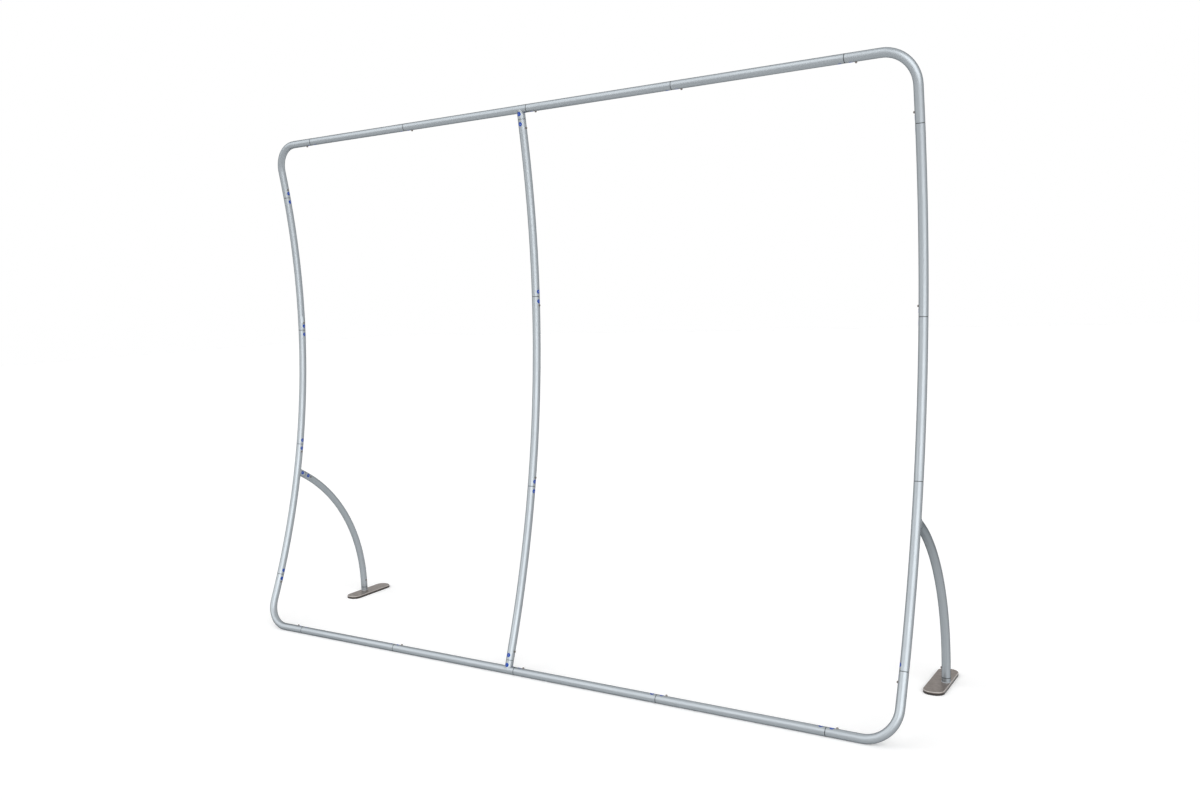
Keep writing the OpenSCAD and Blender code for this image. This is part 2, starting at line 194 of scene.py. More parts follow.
@dataclass(frozen=True)
class Shape:
    """Sizes of the frame that the looks need, in millimetres as on its drawing."""

    frame_w: float = 3000
    frame_h: float = 2264
    frame_lean: float = math.radians(6.8)
    side_r: float = 3460
    corner_r: float = 114
    post_r: float = 4200
    post_end: float = 114
    post_from_seam: float = 34
    tube_d: float = 32
    elbow_rail_run: float = 120
    elbow_side_run: float = 120
    rail_first_len: float = 565
    side_middle_len: float = 550
    post_middle_len: float = 776
    tee_len: float = 38
    leg_below: float = 406
    leg_angle: float = math.radians(30.4)
    leg_stub: float = 40
    leg_upright: float = 66
    foot_stub: float = 17
    plate_len: float = 266
    plate_t: float = 13
    plate_shift: float = 9
    weld: float = 1.5

    @property
    def tube_r(self) -> float:
        """Outside radius of every tube."""
        return self.tube_d / 2

    @property
    def rail_span(self) -> float:
        """Distance between the centres of the two rails."""
        return self.frame_h - self.tube_d

    def half_angle(self, radius: float, end: float) -> float:
        """Half the angle of a bow that has a straight run at each end, in radians."""
        return (math.asin(self.rail_span / 2 / math.hypot(radius, end))
                - math.atan2(end, radius))

    def bow(self, radius: float, end: float) -> float:
        """Depth of such a bow, from the line between the rails."""
        half = self.half_angle(radius, end)
        return radius * (1 - math.cos(half)) + end * math.sin(half)

    def bow_centre(self, radius: float, end: float) -> Vector:
        """Centre of such a bow, from the centre of the bottom rail, as Y and Z."""
        lean = self.frame_lean
        return (self.rail_span / 2 * Vector((math.sin(lean), math.cos(lean)))
                + (self.bow(radius, end) - radius) * Vector((math.cos(lean), -math.sin(lean))))

    @property
    def leg_root(self) -> Vector:
        """Point of the side where a leg starts, from the centre of the bottom rail."""
        turn = -self.leg_below / self.side_r - self.frame_lean
        return (self.bow_centre(self.side_r, self.corner_r)
                + self.side_r * Vector((math.cos(turn), math.sin(turn))))

    @property
    def leg_seam(self) -> Vector:
        """Point where a leg meets its stub, from the centre of the bottom rail."""
        angle = self.leg_angle
        return self.leg_root + self.leg_stub * Vector((math.cos(angle), -math.sin(angle)))

    @property
    def leg_r(self) -> float:
        """Radius of a leg's bow."""
        return (self.leg_seam.y + self.tube_r - self.leg_upright) / math.cos(self.leg_angle)

    @property
    def leg_centre(self) -> Vector:
        """Centre of a leg's bow, from the centre of the bottom rail."""
        angle = self.leg_angle
        return self.leg_seam - self.leg_r * Vector((math.sin(angle), math.cos(angle)))

    @property
    def base(self) -> Vector:
        """Centre of the bottom rail, as Y and Z."""
        depth = (self.tube_r + self.leg_centre.x + self.leg_r + self.plate_shift
                 + self.plate_len / 2)
        return Vector((self.tube_r - depth / 2, self.tube_r))

    @property
    def foot_y(self) -> float:
        """Place of the feet along Y."""
        return self.base.x + self.leg_centre.x + self.leg_r

    def bowed(self, radius: float, end: float) -> Curve:
        """Finds the curve of a tube that bows between the two rails.

        Args:
            radius: Radius of the bow.
            end: Length of the straight run at each end of it.

        Returns:
            The curve.
        """
        half = self.half_angle(radius, end) * radius
        centre = self.base + self.bow_centre(radius, end)
        return Curve(radius, tuple(centre), -half, half, -self.frame_lean)

    @property
    def side_curve(self) -> Curve:
        """Curve of the two sides."""
        return self.bowed(self.side_r, self.corner_r)

    @property
    def post_curve(self) -> Curve:
        """Curve of the middle post."""
        return self.bowed(self.post_r, self.post_end)

    @property
    def leg_curve(self) -> Curve:
        """Curve of the two legs."""
        arc = (math.pi / 2 - self.leg_angle) * self.leg_r
        return Curve(self.leg_r, tuple(self.base + self.leg_centre), 0, arc, 0)

    @property
    def side_x(self) -> float:
        """Place of the sides along X."""
        return self.frame_w / 2 - self.tube_r

    @property
    def corner_x(self) -> float:
        """Place along X where a corner's bend starts."""
        return self.side_x - self.corner_r

    @property
    def rail_seams(self) -> list[float]:
        """Places of the seams of a rail along X."""
        elbow_x = self.corner_x - self.elbow_rail_run
        first = self.rail_first_len - elbow_x
        rest = (elbow_x - first) / 3
        return [-elbow_x] + [first + i * rest for i in range(4)]

    @property
    def side_seams(self) -> list[float]:
        """Places of the seams of a side along its curve."""
        out = self.side_curve.end - self.elbow_side_run
        middle = self.side_middle_len / 2
        return [-out, -middle, middle, out]

    @property
    def post_len(self) -> float:
        """Distance along the post from its middle to a rail."""
        return self.post_curve.end + self.post_end

    @property
    def post_seams(self) -> list[float]:
        """Places of the seams of the post along its curve."""
        out = self.post_len - self.tee_len
        middle = self.post_middle_len / 2
        return [-out, -middle, middle, out]

    @property
    def leg_seams(self) -> list[float]:
        """Places of the seams of a leg along its curve."""
        return [self.plate_t + self.foot_stub - self.leg_upright, self.leg_curve.end]

    @property
    def post_x(self) -> float:
        """Place of the post along X."""
        return self.rail_seams[2] - self.post_from_seam

    def rail_place(self, end: End) -> Matrix:
        """Finds the place of a rail.

        Args:
            end: Which rail.

        Returns:
            Its place: X along it and Y into the frame, towards the other rail.
        """
        reach = self.rail_span if end is End.TOP else 0
        point = self.base + reach * Vector((math.sin(self.frame_lean),
                                            math.cos(self.frame_lean)))
        side = self.side_curve
        turn = (side.turn(side.end) - math.pi / 2 if end is End.TOP
                else side.turn(side.start) + math.pi / 2)
        return Matrix.Translation((0, *point)) @ Matrix.Rotation(turn, 4, "X")

    def curve_place(self, curve: Curve, along: float, x: float) -> Matrix:
        """Place on a curve: Z up the tube, Y away from the arc's centre, in millimetres."""
        return (Matrix.Translation((x, *curve.spot(along)))
                @ Matrix.Rotation(curve.turn(along), 4, "X"))

    def tee_place(self, end: End) -> Matrix:
        """Finds the place of a stub that carries the post.

        Args:
            end: The rail that the stub is welded to.

        Returns:
            Its place: Z along the stub and Y along the rail.
        """
        place = self.curve_place(self.post_curve, end.value * self.post_len, self.post_x)
        flip = Matrix.Rotation(math.pi if end is End.TOP else 0, 4, "X")
        return place @ flip @ Matrix.Rotation(math.pi / 2, 4, "Z")

    @property
    def leg_slant(self) -> float:
        """Angle by which a leg's stub is off square to its side, in radians."""
        return self.leg_angle - self.leg_below / self.side_r - self.frame_lean

    def leg_root_place(self, hand: Hand) -> Matrix:
        """Place of a stub that carries a leg: Z along the stub and Y down the side."""
        place = self.curve_place(self.side_curve, -self.leg_below, hand.value * self.side_x)
        return place @ Matrix.Rotation(-math.pi / 2 - self.leg_slant, 4, "X")

    def foot_place(self, hand: Hand) -> Matrix:
        """Place on a foot plate's top, under the middle of its leg."""
        return Matrix.Translation((hand.value * self.side_x, self.foot_y, self.plate_t))


@dataclass(frozen=True)
class Sticker:
    """One round number sticker: what it says and where it lies."""

    number: int
    place: Matrix


@dataclass(frozen=True)
class StickerPlan:
    """Which seams have stickers, how far from the seam, and which way they face."""

    shape: Shape
    from_seam: float = 19.5
    post_turn: float = math.radians(82)
    leg_number: int = 5
    # They are put on by hand. Degrees by which one is turned to the front (or, below nought, to
    # the back) from where its run's stickers face, by run, number and side of the seam
    turned: dict[tuple[str, int, int], float] = field(default_factory=lambda: {
        ("bottom", 2, 1): 9, ("bottom", 4, -1): 20, ("bottom", 4, 1): 11,
        ("bottom", 5, -1): 14, ("bottom", 5, 1): 20,
        ("right", 1, 1): 31, ("right", 2, -1): -90, ("right", 2, 1): -90})

    def everywhere(self) -> Iterator[Sticker]:
        """Goes through the whole plan.

        Yields:
            Every sticker, with X of its place out of the tube and Z along it.
        """
        yield from self.on_rails()
        yield from self.on_sides()
        yield from self.on_post()
        yield from self.on_legs()

    def beside(self, seams: list[float]) -> Iterator[tuple[int, int, float]]:
        """Finds the places of the two stickers beside each seam of a run.

        Args:
            seams: Places of the seams along the run.

        Yields:
            The seam's number, the side of it and the sticker's place along the run.
        """
        for number, seam in enumerate(seams, 1):
            for way in (-1, 1):
                yield number, way, seam + way * self.from_seam

    def forwards(self, run: str, number: int, way: int) -> Matrix:
        """Turn of one sticker round its tube, for a place whose Y points to the front."""
        return Matrix.Rotation(math.radians(self.turned.get((run, number, way), 0)), 4, "Z")

    @staticmethod
    def inboard(hand: Hand) -> Matrix:
        """Turn that makes X of a place on a side point to the middle of the frame."""
        return Matrix.Rotation(math.pi if hand is Hand.RIGHT else 0, 4, "Z")

    def on_rails(self) -> Iterator[Sticker]:
        """Yields the stickers of both rails, which face into the frame."""
        # Lays Z of a place along the rail, and X of it on the rail's Y, into the frame
        lie_down = Matrix(((0, 0, 1, 0), (1, 0, 0, 0), (0, 1, 0, 0), (0, 0, 0, 1)))
        for end in End:
            for number, way, along in self.beside(self.shape.rail_seams):
                place = self.shape.rail_place(end) @ Matrix.Translation((along, 0, 0))
                turn = self.forwards(end.name.lower(), number, way)
                yield Sticker(number, place @ lie_down @ turn)

    def on_sides(self) -> Iterator[Sticker]:
        """Yields the stickers of both sides, which face inboard."""
        shape = self.shape
        for hand in Hand:
            for number, way, along in self.beside(shape.side_seams):
                place = shape.curve_place(shape.side_curve, along, hand.value * shape.side_x)
                turn = self.forwards(hand.name.lower(), number, way)
                yield Sticker(number, place @ self.inboard(hand) @ turn)

    def on_post(self) -> Iterator[Sticker]:
        """Yields the stickers of the post: at its ends they face forwards."""
        shape = self.shape
        for number, _, along in self.beside(shape.post_seams):
            outer = number in (1, len(shape.post_seams))
            place = shape.curve_place(shape.post_curve, along, shape.post_x)
            facing = -math.pi / 2 + (0 if outer else self.post_turn)
            yield Sticker(number, place @ Matrix.Rotation(facing, 4, "Z"))

    def on_legs(self) -> Iterator[Sticker]:
        """Yields the stickers at the tops of the legs, which face inboard."""
        curve = self.shape.leg_curve
        for hand in Hand:
            for _, _, along in self.beside([curve.end]):
                place = self.shape.curve_place(curve, along, hand.value * self.shape.side_x)
                yield Sticker(self.leg_number, place @ self.inboard(hand))


class Run(Enum):
    """How a tube runs, which its drawn lines follow."""

    STRAIGHT = "straight"
    BOWED = "bowed"
    CORNER = "corner"


@dataclass(frozen=True)
class Lay:
    """Where a tube lies, so that its drawn lines can run along it. Metres.

    Attributes:
        run: How the tube runs.
        centre: A point on a straight tube's line, the centre of a bow, or a rail's middle.
        tilt: Turn of the tube's own frame about X.
        radius: Radius of the bow or bend.
        offset: Place along X of a bowed tube, or of the start of a corner's bend.
        seams: Places of its seams along it. An elbow has one on its rail's run, along X, and
            one on its side's run, square to the bowed tube there.
        far_turn: Turn of an elbow's side seam out of the bend's plane.
    """

    run: Run
    centre: tuple[float, float, float]
    tilt: float = 0.0
    radius: float = 0.0
    offset: float = 0.0
    seams: tuple[float, ...] = ()
    far_turn: float = 0.0


class GrainMap:
    """Nodes that tell where a point lies in a tube's section, and how far along the tube.

    Attributes:
        here: Place of the point in the model.
        across: Its place across the section, out from the centre of a bow or bend.
        over: Its place the other way across the section.
        along: Its place along the tube.
    """

    def __init__(self, tree: NodeTree, lay: Lay) -> None:
        """Builds the nodes that the three places come from.

        Args:
            tree: Tree of the tube's material.
            lay: Where the tube lies.
        """
        self.tree = tree
        self.lay = lay
        self.here = add_node(tree, "ShaderNodeTexCoord").outputs["Object"]
        self.local = add_node(tree, "ShaderNodeMapping",
                              {"Vector": self.here, "Location": lay.centre,
                               "Rotation": (lay.tilt, 0, 0)}, vector_type="TEXTURE")
        self.x, self.y, self.z = add_node(
            tree, "ShaderNodeSeparateXYZ", {0: self.local}).outputs
        self.side = add_node(tree, "ShaderNodeMath", {0: self.x}, operation="ABSOLUTE")
        runs = {Run.STRAIGHT: self.straight, Run.BOWED: self.bowed, Run.CORNER: self.corner}
        self.across, self.over, self.along = runs[lay.run]()

    def straight(self) -> tuple[Source, Source, Source]:
        """Places on a straight tube, which lies along X."""
        return self.y, self.z, self.x

    def bowed(self) -> tuple[Source, Source, Source]:
        """Builds the places on a tube that bows in the plane across X.

        Returns:
            The two places across the section, and the place along the tube.
        """
        tree, lay = self.tree, self.lay
        spoke = add_node(tree, "ShaderNodeCombineXYZ", {"Y": self.y, "Z": self.z})
        out = add_node(tree, "ShaderNodeVectorMath", {0: spoke}, operation="LENGTH")
        across = add_node(tree, "ShaderNodeMath", {0: out, 1: lay.radius}, operation="SUBTRACT")
        over = add_node(tree, "ShaderNodeMath", {0: self.side, 1: lay.offset},
                        operation="SUBTRACT")
        turn = add_node(tree, "ShaderNodeMath", {0: self.z, 1: self.y}, operation="ARCTAN2")
        along = add_node(tree, "ShaderNodeMath", {0: turn, 1: lay.radius}, operation="MULTIPLY")
        return across, over, along

    def corner(self) -> tuple[Source, Source, Source]:
        """Builds the places on an elbow: a straight run, a bend and a straight run in one.

        Returns:
            The two places across the section, and the place along the tube.
        """
        tree, lay = self.tree, self.lay
        past = add_node(tree, "ShaderNodeMath", {0: self.side, 1: lay.offset},
                        operation="SUBTRACT")
        short = add_node(tree, "ShaderNodeMath", {0: lay.radius, 1: self.y},
                         operation="SUBTRACT")
        reach = add_node(tree, "ShaderNodeCombineXYZ", {"X": past, "Y": short})
        spoke = add_node(tree, "ShaderNodeVectorMath", {0: reach, 1: (0, 0, 0)},
                         operation="MAXIMUM")
        out = add_node(tree, "ShaderNodeVectorMath", {0: spoke}, operation="LENGTH")
        across = add_node(tree, "ShaderNodeMath", {0: out, 1: lay.radius}, operation="SUBTRACT")
        along = add_node(tree, "ShaderNodeMath", {0: self.side, 1: self.y}, operation="ADD")
        return across, self.z, along

    def drawn(self, stretch: float) -> Node:
        """Builds the vector that the drawn lines follow.

        Args:
            stretch: How many times longer than wide the lines are.

        Returns:
            The two places across the section, and the shrunk place along the tube.
        """
        shrunk = add_node(self.tree, "ShaderNodeMath", {0: self.along, 1: stretch},
                          operation="DIVIDE")
        return add_node(self.tree, "ShaderNodeCombineXYZ",
                        {"X": self.across, "Y": self.over, "Z": shrunk})

    def seam_ways(self) -> list[Source]:
        """Finds what each seam is measured along.

        Returns:
            A place for each seam: on an elbow along its rail and along its side, and
            otherwise along the tube.
        """
        if self.lay.run is not Run.CORNER:
            return [self.along] * len(self.lay.seams)
        upwards = (0, math.cos(self.lay.far_turn), math.sin(self.lay.far_turn))
        return [self.side, add_node(self.tree, "ShaderNodeVectorMath",
                                    {0: self.local, 1: upwards}, operation="DOT_PRODUCT")]

    def from_seam(self) -> Node:
        """Builds the distance to the nearest seam.

        Returns:
            The node that gives it.
        """
        nearest = None
        for way, seam in zip(self.seam_ways(), self.lay.seams):
            past = add_node(self.tree, "ShaderNodeMath", {0: way, 1: seam},
                            operation="SUBTRACT")
            gap = add_node(self.tree, "ShaderNodeMath", {0: past}, operation="ABSOLUTE")
            nearest = gap if nearest is None else add_node(
                self.tree, "ShaderNodeMath", {0: nearest, 1: gap}, operation="MINIMUM")
        return nearest


# Noise hardly leaves this range, so what it drives is spread over no more of it
NOISE_RANGE = {"From Min": 0.3, "From Max": 0.7}


@dataclass(frozen=True)
class Finish:
    """A finish: what the material is, and the two colours that it varies between."""

    name: str
    colour: str
    shade: str
    metallic: float
    roughness: float
    edge: str = "#FFFFFF"
    gloss: float = 0.5

    def start(self, suffix: str = "") -> tuple[Material, NodeTree]:
        """Makes an empty material, named for the finish, and gives its tree with it."""
        material = bpy.data.materials.new(self.name + suffix)
        return material, emptied(material)

    def tone(self, tree: NodeTree, share: Source) -> Node:
        """Mixes the finish's two colours by a share."""
        return add_node(tree, "ShaderNodeMix",
                        {"Factor": share, "A": linear(self.colour), "B": linear(self.shade)},
                        data_type="RGBA")

    def close(self, tree: NodeTree, colour: Source, rough: Source,
              relief: Source) -> None:
        """Ends a material's tree in one Principled shader.

        Args:
            tree: The tree.
            colour: What gives the colour.
            rough: What gives the roughness.
            relief: What gives the normal of the uneven surface.
        """
        shader = add_node(tree, "ShaderNodeBsdfPrincipled",
                          {"Base Color": colour, "Metallic": self.metallic,
                           "Roughness": rough, "Specular IOR Level": self.gloss,
                           "Specular Tint": linear(self.edge), "Normal": relief})
        add_node(tree, "ShaderNodeOutputMaterial", {"Surface": shader})


@dataclass(frozen=True)
class Anodised(Finish):
    """Satin anodised aluminium tube: drawn lines along it, under an even etched grain.

    The lines give the tube its soft lengthwise streaks, and the etch blurs its highlight.
    """

    # Real drawn lines are 0.2 to 0.5 mm apart: 1.2 mm is the finest that shows in a render
    line_size: float = 1.2
    line_stretch: float = 350
    line_detail: float = 3
    line_depth: float = 0.05
    line_strength: float = 0.12
    line_swing: float = 0.04
    # Fine pits that the bath leaves before the clear anodic layer grows
    etch_size: float = 0.5
    etch_detail: float = 2
    etch_depth: float = 0.03
    etch_strength: float = 0.1
    # Marks of hands and bags, which change the gloss and nothing else
    handling_size: float = 90
    handling_detail: float = 4
    handling_swing: tuple[float, float] = (-0.04, 0.05)
    # The deburred edge at each end of a tube, dark with grime and painted shade, and the strip
    # where it fades
    burr_width: float = 0.7
    burr_fade: float = 0.28
    burr_grime_and_shade_colour: str = "#4A4C4F"
    # Half the groove at a seam, from its middle to the ends of its tubes
    half_groove: float = 0.5

    def build(self, lay: Lay, suffix: str) -> Material:
        """Makes the material for the tubes of one run.

        Args:
            lay: Where those tubes lie.
            suffix: Name of the run.

        Returns:
            The material.
        """
        material, tree = self.start(suffix)
        grain = GrainMap(tree, lay)
        lines, etch, handling = (
            add_node(tree, "ShaderNodeTexNoise",
                     {"Vector": where, "Scale": 1 / (size * MM), "Detail": detail})
            for where, size, detail in (
                (grain.drawn(self.line_stretch), self.line_size, self.line_detail),
                (grain.here, self.etch_size, self.etch_detail),
                (grain.here, self.handling_size, self.handling_detail)))
        streaks, drawn, handled = (
            add_node(tree, "ShaderNodeMapRange",
                     {"Value": noise, **NOISE_RANGE, "To Min": low, "To Max": high})
            for noise, low, high in (
                (lines, 0.0, 1.0),
                (lines, self.roughness - self.line_swing, self.roughness + self.line_swing),
                (handling, *self.handling_swing)))
        rough = add_node(tree, "ShaderNodeMath", {0: handled, 1: drawn}, operation="ADD")
        # Painted shade and grime: each tube turns darker beside its seams
        clean = self.half_groove + self.burr_width
        edge = add_node(tree, "ShaderNodeMapRange",
                        {"Value": grain.from_seam(), "From Min": clean * MM,
                         "From Max": (clean + self.burr_fade) * MM,
                         "To Min": 1.0, "To Max": 0.0})
        grime_and_seam_shade = add_node(tree, "ShaderNodeMix",
                         {"Factor": edge, "A": self.tone(tree, streaks),
                          "B": linear(self.burr_grime_and_shade_colour)}, data_type="RGBA")
        ridged = add_node(tree, "ShaderNodeBump",
                          {"Height": lines, "Strength": self.line_strength,
                           "Distance": self.line_depth * MM})
        etched = add_node(tree, "ShaderNodeBump",
                          {"Height": etch, "Strength": self.etch_strength,
                           "Distance": self.etch_depth * MM, "Normal": ridged})
        self.close(tree, grime_and_seam_shade, rough, etched)
        return material


@dataclass(frozen=True)
class Blotched(Finish):
    """Plain metal or plastic whose tone, gloss and surface vary in blotches of a real size."""

    blotch_size: float = 20
    blotch_detail: float = 4
    grain_size: float = 0.8
    grain_detail: float = 2
    grain_depth: float = 0.03
    grain_strength: float = 0.3
    roughness_swing: float = 0.06

    def build(self) -> Material:
        """Makes the material.

        Returns:
            The material.
        """
        material, tree = self.start()
        here = add_node(tree, "ShaderNodeTexCoord").outputs["Object"]
        blotch, grain = (
            add_node(tree, "ShaderNodeTexNoise",
                     {"Vector": here, "Scale": 1 / (size * MM), "Detail": detail})
            for size, detail in ((self.blotch_size, self.blotch_detail),
                                 (self.grain_size, self.grain_detail)))
        low, high = self.roughness - self.roughness_swing, self.roughness + self.roughness_swing
        share, rough = (
            add_node(tree, "ShaderNodeMapRange",
                     {"Value": blotch, **NOISE_RANGE, "To Min": least, "To Max": most})
            for least, most in ((0.0, 1.0), (low, high)))
        relief = add_node(tree, "ShaderNodeBump",
                          {"Height": grain, "Strength": self.grain_strength,
                           "Distance": self.grain_depth * MM})
        self.close(tree, self.tone(tree, share), rough, relief)
        return material


@dataclass(frozen=True)
class Rimmed(Blotched):
    """Lacquered steel plate: its rim pale from wear and painted highlight, its foot dark from
    grime and painted shade.

    The rim gives the plate a thin bright outline, over a dark line where it meets the floor.
    """

    # Heights above the floor at which each strip starts and is full: the lower and the upper edge
    # of the worn rim with its painted highlight, and the grime and painted shade along the foot
    rim_below: tuple[float, float] = (10.0, 12.0)
    rim_above: tuple[float, float] = (12.9, 12.1)
    grime_and_shade_above: tuple[float, float] = (8.5, 7.0)
    grime_and_shade_colour: str = "#2E2A28"
    worn_and_highlight_colour: str = "#BDB9B6"

    def tone(self, tree: NodeTree, share: Source) -> Node:
        """Mixes the plate's two colours, and adds its rim's wear and painted highlight and its
        foot's grime and painted shade.

        Args:
            tree: The material's tree.
            share: Share of the second colour.

        Returns:
            The node that gives the colour.
        """
        here = add_node(tree, "ShaderNodeTexCoord").outputs["Object"]
        height = add_node(tree, "ShaderNodeSeparateXYZ", {0: here}).outputs["Z"]
        lower, upper, grime_and_foot_shade = (
            add_node(tree, "ShaderNodeMapRange",
                     {"Value": height, "From Min": start * MM, "From Max": full * MM})
            for start, full in (self.rim_below, self.rim_above, self.grime_and_shade_above))
        rim = add_node(tree, "ShaderNodeMath", {0: lower, 1: upper}, operation="MULTIPLY")
        # Painted highlight and wear: the rim of the plate turns pale
        worn_and_highlit = add_node(tree, "ShaderNodeMix",
                          {"Factor": rim, "A": super().tone(tree, share),
                           "B": linear(self.worn_and_highlight_colour)}, data_type="RGBA")
        # Painted shade and grime: the foot of the plate turns dark
        return add_node(tree, "ShaderNodeMix",
                        {"Factor": grime_and_foot_shade, "A": worn_and_highlit, "B": linear(self.grime_and_shade_colour)},
                        data_type="RGBA")


# Etched and clear anodised tube: pale, cool and soft, with a darker edge where it turns away
ANODISED = Anodised("satin_anodised_aluminium", "#A0A6AA", "#92989D", 0.9, 0.38, "#303030")
# Aluminium as it leaves the die: darker and greyer than the tubes that hide it, as grime and as
# painted shade in the seams where it shows
MILL_AND_SEAM_SHADE = Blotched("mill_finish_aluminium", "#5F6366", "#4C4F52", 1.0, 0.45, blotch_size=12)
# Rolled steel under a warm clear lacquer: brownish, cloudy and half glossy
PLATE = Rimmed("satin_rolled_steel", "#706761", "#635A54", 0.4, 0.38, blotch_size=16,
               grain_size=1.5, grain_depth=0.05)
# Barrel-plated buttons: a dark, warm gloss with a tight highlight on each dome
NICKEL = Blotched("nickel_plated_steel", "#7B7470", "#66605C", 1.0, 0.25, blotch_size=3,
                  grain_size=0.4, grain_depth=0.01)
# Hardened strip, blued by its tempering: dark, cool and even
SPRING = Blotched("blued_spring_steel", "#77787C", "#5E6066", 1.0, 0.35, blotch_size=5)
# Printed vinyl, matt laminated: deep flat blue with hardly a highlight
VINYL = Blotched("printed_vinyl_blue", "#04409C", "#033388", 0.0, 0.45, gloss=0.2,
                 blotch_size=6, grain_size=0.5, grain_depth=0.01)
# The sticker's unprinted white, a little grey from handling
INK = Blotched("white_print", "#DDE1E8", "#CDD2DA", 0.0, 0.45, blotch_size=2,
               grain_size=0.3, grain_depth=0.005)
# Bead of a hand-laid weld, brushed clean: bright on its ripples and dull between them
WELD = Blotched("aluminium_weld_bead", "#B9BCBE", "#93979A", 1.0, 0.38, blotch_size=2.5,
                grain_size=0.6, grain_depth=0.04)

# Finish of every part that isn't a tube, by a word of its node's name. The first word found
# counts: the springs' node names the buttons too
PLAIN_FINISHES = {"springs": SPRING, "button": NICKEL, "spigots": MILL_AND_SEAM_SHADE, "plate": PLATE}


@dataclass(frozen=True)
class FrameParts:
    """The frame's own parts, which are CAD nodes and get their finishes here."""

    shape: Shape
    nodes: dict[str, Object]

    def lays(self) -> dict[str, Lay]:
        """Works out where the tubes of each run lie.

        Returns:
            Name of each run, with its lay.
        """
        shape = self.shape
        made: dict[str, Lay] = {}
        bowed = shape.elbow_side_run / shape.side_r
        elbow_seams = (shape.rail_seams[-1],
                       shape.corner_r * math.cos(bowed) + shape.side_r * math.sin(bowed))
        for end in End:
            name = end.name.lower()
            place = shape.rail_place(end)
            centre = tuple(place.translation * MM)
            tilt = place.to_euler().x
            made[f"{name}_rail"] = Lay(Run.STRAIGHT, centre, tilt,
                                       seams=tuple(s * MM for s in shape.rail_seams))
            made[f"{name}_elbow"] = Lay(Run.CORNER, centre, tilt, shape.corner_r * MM,
                                        shape.corner_x * MM,
                                        tuple(s * MM for s in elbow_seams),
                                        -end.value * bowed)
        for name, curve, seams, x, offset in (
                ("side", shape.side_curve, shape.side_seams, 0, shape.side_x),
                ("post", shape.post_curve, shape.post_seams, shape.post_x, 0),
                ("leg", shape.leg_curve, shape.leg_seams, 0, shape.side_x)):
            centre = (x * MM, curve.centre[0] * MM, curve.centre[1] * MM)
            made[name] = Lay(Run.BOWED, centre, 0.0, curve.radius * MM, offset * MM,
                             tuple(curve.round_arc(s) * MM for s in seams))
        return made

    @staticmethod
    def run_of(node: str) -> str:
        """Finds the run that a tube belongs to.

        Args:
            node: Name of the tube's node.

        Returns:
            Name of the run.
        """
        for kind in ("elbow", "rail"):
            if kind in node:
                return f"{node.split('_')[0]}_{kind}"
        if "leg" in node or node == "foot_sockets":
            return "leg"
        return "side" if "side" in node else "post"

    def dress(self) -> None:
        """Gives every part its material."""
        tubes = {run: ANODISED.build(lay, f"_{run}") for run, lay in self.lays().items()}
        plain = {word: finish.build() for word, finish in PLAIN_FINISHES.items()}
        for name, node in self.nodes.items():
            word = next((w for w in plain if w in name), None)
            material = plain[word] if word else tubes[self.run_of(name)]
            for slot in node.material_slots:
                slot.link = "DATA"
                slot.material = material
            LOG.info("%s: %s", name, material.name)


# Kind of socket that takes each kind of value
SOCKET_KINDS = {Material: "NodeSocketMaterial", str: "NodeSocketString",
                int: "NodeSocketInt", float: "NodeSocketFloat"}


class SizedTree:
    """A geometry tree with named sizes, which turns a seed into a mesh.

    Attributes:
        tree: The node tree.
        size: Sockets of its inputs by name. The seed comes in by the one named Geometry.
    """

    def __init__(self, name: str, values: dict[str, Any]) -> None:
        """Starts the tree.

        Args:
            name: Name of the tree.
            values: Name of each input, with its value: lengths are in metres.
        """
        self.values = values
        self.tree = bpy.data.node_groups.new(name, "GeometryNodeTree")
        for way in ("INPUT", "OUTPUT"):
            self.tree.interface.new_socket("Geometry", in_out=way,
                                           socket_type="NodeSocketGeometry")
        for key, value in values.items():
            kind = next(kind for held, kind in SOCKET_KINDS.items() if isinstance(value, held))
            self.tree.interface.new_socket(key, in_out="INPUT", socket_type=kind)
        group = self.tree.nodes.new("NodeGroupInput")
        self.size = {s.name: s for s in group.outputs if s.name}

    def close(self, form: Source) -> None:
        """Ends the tree in plain geometry of one material.

        Args:
            form: What gives the finished form.
        """
        real = add_node(self.tree, "GeometryNodeRealizeInstances", {0: form})
        dressed = add_node(self.tree, "GeometryNodeSetMaterial",
                           {"Geometry": real, "Material": self.size["Finish"]})
        add_node(self.tree, "NodeGroupOutput", {0: dressed})

    def grow(self, name: str, seed: Mesh, **changes: Any) -> Mesh:
        """Runs the tree on a seed.

        Args:
            name: Name of the new mesh.
            seed: Mesh that the tree starts from.
            changes: Inputs that get another value this time.

        Returns:
            The plain mesh that the tree makes.
        """
        carrier = add_object(name + "_seed", seed)
        modifier = carrier.modifiers.new("grow", "NODES")
        modifier.node_group = self.tree
        ids = {s.name: s.identifier for s in self.tree.interface.items_tree
               if s.item_type == "SOCKET" and s.in_out == "INPUT"}
        for key, value in (self.values | changes).items():
            modifier[ids[key]] = value
        graph = bpy.context.evaluated_depsgraph_get()
        mesh = bpy.data.meshes.new_from_object(carrier.evaluated_get(graph), depsgraph=graph)
        mesh.name = name
        carrier.modifiers.clear()
        bpy.data.objects.remove(carrier)
        return mesh


def place_piece(name: str, mesh: Mesh) -> None:
    """Puts a finished mesh into the scene as a piece of the frame.

    Args:
        name: Name of the piece.
        mesh: Its mesh, already in place.
    """
    piece = add_object(name, mesh)
    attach(piece, FRAME_BODY)
    LOG.info("%s: %d faces", name, len(mesh.polygons))


def merged(name: str, parts: list[Mesh]) -> Mesh:
    """Joins meshes of one material into one.

    Args:
        name: Name of the joined mesh.
        parts: The meshes.

    Returns:
        The joined mesh.
    """
    whole = bmesh.new()
    for part in parts:
        whole.from_mesh(part)
    mesh = bpy.data.meshes.new(name)
    whole.to_mesh(mesh)
    whole.free()
    mesh.materials.append(parts[0].materials[0])
    return mesh


